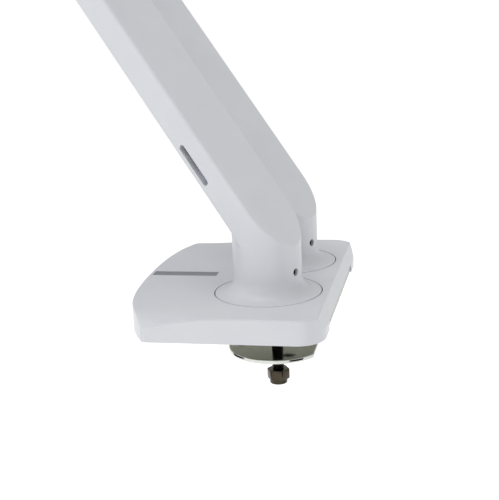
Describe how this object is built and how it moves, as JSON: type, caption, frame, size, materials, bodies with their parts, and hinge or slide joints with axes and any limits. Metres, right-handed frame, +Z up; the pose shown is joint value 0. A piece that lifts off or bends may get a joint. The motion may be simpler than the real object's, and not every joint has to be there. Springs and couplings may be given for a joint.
{
  "type": "dual monitor arm",
  "caption": "Desk-hole clamped stand with two rising lower arms, spring-balanced upper arms and tilting square screen plates.",
  "frame": {"origin": "middle of the base's footprint on the desk top", "axes": "+Z up, -Y towards the person at the desk, +X to that person's right hand when facing +Y"},
  "size_m": [0.6874, 0.4245, 0.5096],
  "materials": {
    "powder_coat": "die-cast, satin white powder coat",
    "grey_inlay": "satin",
    "zinc_steel": "zinc plated",
    "chrome": "polished",
    "black_steel": "black oxide",
    "bronzed_steel": "dark nickel",
    "cover_plastic": "satin",
    "ring_nylon": "matte",
    "pad_foam": "matte",
    "spring_steel": "gloss black"
  },
  "bodies": {
    "base": {"base_cover": "powder_coat", "front_strip": "grey_inlay", "base_plate": "zinc_steel", "foot_pad": "pad_foam", "cover_screws": "black_steel", "spindle_screws": "black_steel", "spindles": "zinc_steel", "thrust_rings": "ring_nylon", "rod_washer": "zinc_steel"},
    "clamp_screw": {"clamp_rod": "black_steel", "drive_nut": "bronzed_steel", "locking_ring": "bronzed_steel"},
    "clamp_disc": {"clamp_disc": "chrome"},
    "lower_arm_near": {"lower_arm_near": "powder_coat", "set_screws_near": "black_steel"},
    "cable_cover_near": {"cable_cover_near": "cover_plastic"},
    "elbow_near": {"elbow_post_near": "zinc_steel", "elbow_bracket_near": "powder_coat", "elbow_pins_near": "zinc_steel"},
    "upper_arm_near": {"upper_arm_near": "powder_coat", "upper_cover_near": "cover_plastic", "pivot_pins_near": "zinc_steel", "spring_cylinder_near": "spring_steel", "spring_anchor_near": "zinc_steel", "tension_screw_near": "black_steel"},
    "level_link_near": {"level_link_near": "zinc_steel"},
    "spring_rod_near": {"spring_rod_near": "chrome"},
    "wrist_near": {"wrist_bracket_near": "powder_coat", "wrist_pin_near": "zinc_steel"},
    "pan_yoke_near": {"pan_yoke_near": "powder_coat", "pan_pin_near": "zinc_steel"},
    "tilt_head_near": {"tilt_head_near": "powder_coat", "tilt_bolt_near": "black_steel", "tilt_nut_near": "zinc_steel", "plate_retainer_near": "zinc_steel"},
    "screen_plate_near": {"screen_plate_near": "powder_coat"},
    "lower_arm_far": {"lower_arm_far": "powder_coat", "set_screws_far": "black_steel"},
    "cable_cover_far": {"cable_cover_far": "cover_plastic"},
    "elbow_far": {"elbow_post_far": "zinc_steel", "elbow_bracket_far": "powder_coat", "elbow_pins_far": "zinc_steel"},
    "upper_arm_far": {"upper_arm_far": "powder_coat", "upper_cover_far": "cover_plastic", "pivot_pins_far": "zinc_steel", "spring_cylinder_far": "spring_steel", "spring_anchor_far": "zinc_steel", "tension_screw_far": "black_steel"},
    "level_link_far": {"level_link_far": "zinc_steel"},
    "spring_rod_far": {"spring_rod_far": "chrome"},
    "wrist_far": {"wrist_bracket_far": "powder_coat", "wrist_pin_far": "zinc_steel"},
    "pan_yoke_far": {"pan_yoke_far": "powder_coat", "pan_pin_far": "zinc_steel"},
    "tilt_head_far": {"tilt_head_far": "powder_coat", "tilt_bolt_far": "black_steel", "tilt_nut_far": "zinc_steel", "plate_retainer_far": "zinc_steel"},
    "screen_plate_far": {"screen_plate_far": "powder_coat"}
  },
  "joints": [
    {"name": "clamp_screw_turn", "type": "hinge", "parent": "base", "child": "clamp_screw", "pos_m": [0, 0.0275, 0], "axis": [0, 0, 1], "range_deg": [-6480, 1440]},
    {"name": "clamp_disc_travel", "type": "slide", "parent": "base", "child": "clamp_disc", "axis": [0, 0, 1], "range_m": [-0.006, 0.027]},
    {"name": "base_swivel_near", "type": "hinge", "parent": "base", "child": "lower_arm_near", "pos_m": [0.04465, 0.03, 0.02], "axis": [0, 0, 1], "range_deg": [0, 100]},
    {"name": "cable_cover_off_near", "type": "slide", "parent": "lower_arm_near", "child": "cable_cover_near", "axis": [-0.3343, -0.6855, -0.6468], "range_m": [0, 0.03]},
    {"name": "elbow_swivel_near", "type": "hinge", "parent": "lower_arm_near", "child": "elbow_near", "pos_m": [-0.03645, -0.13628, 0.322], "axis": [0, 0, 1], "range_deg": [-45, 120]},
    {"name": "lift_near", "type": "hinge", "parent": "elbow_near", "child": "upper_arm_near", "pos_m": [-0.03645, -0.13628, 0.375], "axis": [-0.5, -0.866, 0], "range_deg": [-35, 35]},
    {"name": "link_swing_near", "type": "hinge", "parent": "elbow_near", "child": "level_link_near", "pos_m": [-0.03645, -0.13628, 0.363], "axis": [-0.5, -0.866, 0], "range_deg": [-35, 35]},
    {"name": "spring_stroke_near", "type": "slide", "parent": "upper_arm_near", "child": "spring_rod_near", "axis": [0.866, -0.5, 0], "range_m": [-0.009, 0.009]},
    {"name": "wrist_level_near", "type": "hinge", "parent": "upper_arm_near", "child": "wrist_near", "pos_m": [0.16274, -0.25128, 0.375], "axis": [-0.5, -0.866, 0], "range_deg": [-35, 35]},
    {"name": "head_pan_near", "type": "hinge", "parent": "wrist_near", "child": "pan_yoke_near", "pos_m": [0.20257, -0.27428, 0.375], "axis": [0, 0, 1], "range_deg": [-25, 145]},
    {"name": "head_tilt_near", "type": "hinge", "parent": "pan_yoke_near", "child": "tilt_head_near", "pos_m": [0.20257, -0.31528, 0.375], "axis": [1, 0, 0], "range_deg": [-40, 40]},
    {"name": "plate_turn_near", "type": "hinge", "parent": "tilt_head_near", "child": "screen_plate_near", "pos_m": [0.20257, -0.34228, 0.375], "axis": [0, -1, 0], "range_deg": [-90, 90]},
    {"name": "base_swivel_far", "type": "hinge", "parent": "base", "child": "lower_arm_far", "pos_m": [-0.04465, 0.03, 0.02], "axis": [0, 0, 1], "range_deg": [-90, 0]},
    {"name": "cable_cover_off_far", "type": "slide", "parent": "lower_arm_far", "child": "cable_cover_far", "axis": [-0.3343, -0.6855, -0.6468], "range_m": [0, 0.03]},
    {"name": "elbow_swivel_far", "type": "hinge", "parent": "lower_arm_far", "child": "elbow_far", "pos_m": [-0.12575, -0.13628, 0.322], "axis": [0, 0, 1], "range_deg": [-110, 45]},
    {"name": "lift_far", "type": "hinge", "parent": "elbow_far", "child": "upper_arm_far", "pos_m": [-0.12575, -0.13628, 0.375], "axis": [-0.5, 0.866, 0], "range_deg": [-35, 35]},
    {"name": "link_swing_far", "type": "hinge", "parent": "elbow_far", "child": "level_link_far", "pos_m": [-0.12575, -0.13628, 0.363], "axis": [-0.5, 0.866, 0], "range_deg": [-35, 35]},
    {"name": "spring_stroke_far", "type": "slide", "parent": "upper_arm_far", "child": "spring_rod_far", "axis": [-0.866, -0.5, 0], "range_m": [-0.009, 0.009]},
    {"name": "wrist_level_far", "type": "hinge", "parent": "upper_arm_far", "child": "wrist_far", "pos_m": [-0.32493, -0.25128, 0.375], "axis": [-0.5, 0.866, 0], "range_deg": [-35, 35]},
    {"name": "head_pan_far", "type": "hinge", "parent": "wrist_far", "child": "pan_yoke_far", "pos_m": [-0.36477, -0.27428, 0.375], "axis": [0, 0, 1], "range_deg": [-145, 25]},
    {"name": "head_tilt_far", "type": "hinge", "parent": "pan_yoke_far", "child": "tilt_head_far", "pos_m": [-0.36477, -0.31528, 0.375], "axis": [1, 0, 0], "range_deg": [-40, 40]},
    {"name": "plate_turn_far", "type": "hinge", "parent": "tilt_head_far", "child": "screen_plate_far", "pos_m": [-0.36477, -0.34228, 0.375], "axis": [0, -1, 0], "range_deg": [-90, 90]}
  ],
  "couplings": [
    {"joint": "clamp_screw_turn", "follows": "clamp_disc_travel", "rad_per_m": -4188.8},
    {"joint": "link_swing_near", "follows": "lift_near", "ratio": 1},
    {"joint": "wrist_level_near", "follows": "lift_near", "ratio": -1},
    {"joint": "spring_stroke_near", "follows": "lift_near", "m_per_rad": 0.00907},
    {"joint": "link_swing_far", "follows": "lift_far", "ratio": 1},
    {"joint": "wrist_level_far", "follows": "lift_far", "ratio": -1},
    {"joint": "spring_stroke_far", "follows": "lift_far", "m_per_rad": 0.00907}
  ]
}
